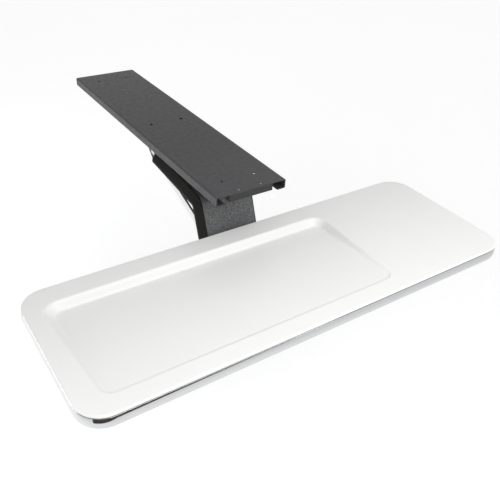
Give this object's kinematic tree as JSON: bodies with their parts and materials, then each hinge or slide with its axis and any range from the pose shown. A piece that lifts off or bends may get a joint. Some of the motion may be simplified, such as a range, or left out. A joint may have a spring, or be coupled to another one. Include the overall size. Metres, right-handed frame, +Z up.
{
  "type": "under desk keyboard tray",
  "caption": "Pull-out keyboard tray with a moulded keyboard bay and bright edge band, hung from an under-desk track by a swivelling, height-adjustable gooseneck arm.",
  "frame": {"origin": "centre of the track's upper, desk-side mounting face", "axes": "+Z up towards the desk, +Y away from the seated user along the track, +X to the user's right"},
  "size_m": [0.703, 0.7925, 0.159],
  "materials": {
    "track_steel": "satin black powder coat",
    "stop_rubber": "matt black rubber",
    "zinc_steel": "bright zinc plate",
    "bracket_steel": "fine textured black powder coat",
    "nylon": "natural nylon",
    "spring_steel": "oiled spring steel",
    "cover_plastic": "fine-grained charcoal moulding",
    "black_screws": "black oxide",
    "friction_fibre": "pressed friction fibre",
    "knob_plastic": "matt black moulding",
    "insert_brass": "turned brass",
    "tray_white": "satin white moulding",
    "base_plastic": "matt white moulding",
    "gasket_rubber": "dark grey rubber",
    "edge_chrome": "polished bright metal"
  },
  "bodies": {
    "track": {"track_rail": "track_steel", "track_stop_front": "stop_rubber", "track_stop_rear": "stop_rubber", "track_stop_screws": "zinc_steel"},
    "carriage": {"carriage_plate": "bracket_steel", "glide_front_left": "nylon", "glide_front_right": "nylon", "glide_rear_left": "nylon", "glide_rear_right": "nylon", "swivel_ring": "nylon", "swivel_pivot": "zinc_steel", "swivel_washer": "zinc_steel", "swivel_nut": "zinc_steel"},
    "swivel_head": {"swivel_bracket": "bracket_steel", "upper_axle": "zinc_steel", "upper_axle_clips": "spring_steel", "upper_link_pin": "zinc_steel", "spring_bar": "zinc_steel"},
    "arm": {"arm_frame": "bracket_steel", "arm_cover": "cover_plastic", "arm_cover_screws": "black_screws", "arm_bushes": "nylon", "friction_discs": "friction_fibre", "lift_spring_left": "spring_steel", "lift_spring_right": "spring_steel"},
    "level_link": {"level_link_left": "zinc_steel", "level_link_right": "zinc_steel", "link_spacer_upper": "zinc_steel", "link_spacer_lower": "zinc_steel"},
    "knuckle": {"knuckle": "bracket_steel", "lower_axle": "zinc_steel", "lower_axle_clips": "spring_steel", "lower_link_pin": "zinc_steel", "tilt_axle": "zinc_steel"},
    "tilt_knob": {"tilt_knob": "knob_plastic", "knob_insert": "insert_brass"},
    "tray": {"tray_bracket": "bracket_steel", "tilt_washers": "zinc_steel", "tilt_discs": "friction_fibre", "bracket_screws": "zinc_steel", "threaded_inserts": "insert_brass", "tray_top": "tray_white", "tray_base": "base_plastic", "base_screws": "zinc_steel", "edge_gasket": "gasket_rubber", "edge_band": "edge_chrome"}
  },
  "joints": [
    {"name": "track_slide", "type": "slide", "parent": "track", "child": "carriage", "axis": [0, -1, 0], "range_m": [-0.205, 0.205]},
    {"name": "swivel", "type": "hinge", "parent": "carriage", "child": "swivel_head", "pos_m": [0, 0, -0.0175], "axis": [0, 0, 1], "range_deg": [-90, 90]},
    {"name": "arm_lift", "type": "hinge", "parent": "swivel_head", "child": "arm", "pos_m": [0, -0.024, -0.04], "axis": [-1, 0, 0], "range_deg": [-30, 4.5]},
    {"name": "knuckle_pivot", "type": "hinge", "parent": "arm", "child": "knuckle", "pos_m": [0, -0.258, -0.128], "axis": [-1, 0, 0], "range_deg": [-4.5, 30]},
    {"name": "link_pivot", "type": "hinge", "parent": "swivel_head", "child": "level_link", "pos_m": [0, -0.02, -0.062], "axis": [-1, 0, 0], "range_deg": [-30, 4.5]},
    {"name": "tray_tilt", "type": "hinge", "parent": "knuckle", "child": "tray", "pos_m": [0, -0.284, -0.118], "axis": [-1, 0, 0], "range_deg": [-15, 10]},
    {"name": "knob_turn", "type": "hinge", "parent": "knuckle", "child": "tilt_knob", "pos_m": [0, -0.284, -0.118], "axis": [-1, 0, 0], "range_deg": [-180, 0]}
  ],
  "couplings": [
    {"joint": "knuckle_pivot", "follows": "arm_lift", "ratio": -1},
    {"joint": "link_pivot", "follows": "arm_lift", "ratio": 1}
  ]
}
